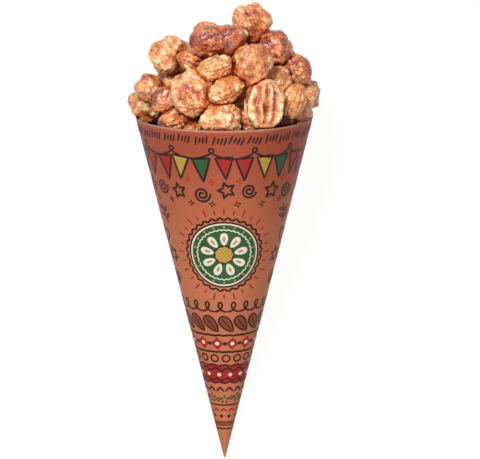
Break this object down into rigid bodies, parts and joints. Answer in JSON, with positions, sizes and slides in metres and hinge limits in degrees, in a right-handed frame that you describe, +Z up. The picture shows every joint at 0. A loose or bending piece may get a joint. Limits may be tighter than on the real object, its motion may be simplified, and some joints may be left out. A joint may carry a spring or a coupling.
{
  "type": "paper cone bag",
  "caption": "Rolled paper cone bag with a glued lap, lying on its back and heaped with sugar-coated nuts that rise in a dome above the open rim.",
  "frame": {"origin": "middle of the narrow flat strip on the cone's back, on which the bag lies", "axes": "+Y along the ground from the tip towards the mouth, +Z up through the front of the bag, +X to the right as seen from above with the mouth at the top"},
  "size_m": [0.0966, 0.2308, 0.0895],
  "materials": {
    "paper": "copper-coloured coated card with a soft sheen; fabric stands in for card",
    "macadamia_coat": "amber sugar glaze with pale crystals; gloss_plastic stands in for food",
    "hazelnut_coat": "light amber sugar glaze",
    "almond_coat": "golden sugar glaze",
    "pecan_coat": "deep amber sugar glaze",
    "cashew_coat": "amber sugar glaze",
    "clump_coat": "dark amber sugar glaze"
  },
  "bodies": {
    "root": {"paper_cone": "paper", "macadamia_front_01": "macadamia_coat", "cashew_front_02": "cashew_coat", "almond_front_03": "almond_coat", "almond_front_04": "almond_coat", "hazelnut_front_05": "hazelnut_coat", "hazelnut_front_06": "hazelnut_coat", "almond_front_07": "almond_coat", "macadamia_front_08": "macadamia_coat", "hazelnut_front_09": "hazelnut_coat", "almond_front_10": "almond_coat", "hazelnut_front_11": "hazelnut_coat", "macadamia_front_12": "macadamia_coat", "almond_front_13": "almond_coat", "pecan_front_14": "pecan_coat", "almond_front_15": "almond_coat", "hazelnut_front_16": "hazelnut_coat", "hazelnut_front_17": "hazelnut_coat", "hazelnut_front_18": "hazelnut_coat", "hazelnut_front_19": "hazelnut_coat", "almond_front_20": "almond_coat", "macadamia_front_21": "macadamia_coat", "hazelnut_front_22": "hazelnut_coat", "almond_front_23": "almond_coat", "pecan_back_11": "pecan_coat", "pecan_back_12": "pecan_coat", "pecan_back_13": "pecan_coat", "pecan_back_14": "pecan_coat", "macadamia_back_21": "macadamia_coat", "macadamia_back_22": "macadamia_coat", "macadamia_back_23": "macadamia_coat", "macadamia_back_24": "macadamia_coat", "macadamia_back_25": "macadamia_coat", "macadamia_back_31": "macadamia_coat", "macadamia_back_32": "macadamia_coat", "macadamia_back_33": "macadamia_coat", "macadamia_back_34": "macadamia_coat", "hazelnut_back_41": "hazelnut_coat", "hazelnut_back_42": "hazelnut_coat", "clump_core_1": "clump_coat", "clump_core_2": "clump_coat", "clump_core_3": "clump_coat", "clump_fill_11": "clump_coat", "clump_fill_21": "clump_coat", "clump_fill_31": "clump_coat", "clump_fill_41": "clump_coat", "clump_fill_42": "clump_coat", "clump_fill_51": "clump_coat", "clump_fill_52": "clump_coat", "clump_fill_61": "clump_coat", "clump_fill_62": "clump_coat", "clump_fill_63": "clump_coat", "clump_fill_64": "clump_coat", "clump_fill_71": "clump_coat", "clump_fill_72": "clump_coat", "clump_fill_73": "clump_coat", "clump_fill_74": "clump_coat", "clump_fill_75": "clump_coat"}
  },
  "joints": []
}
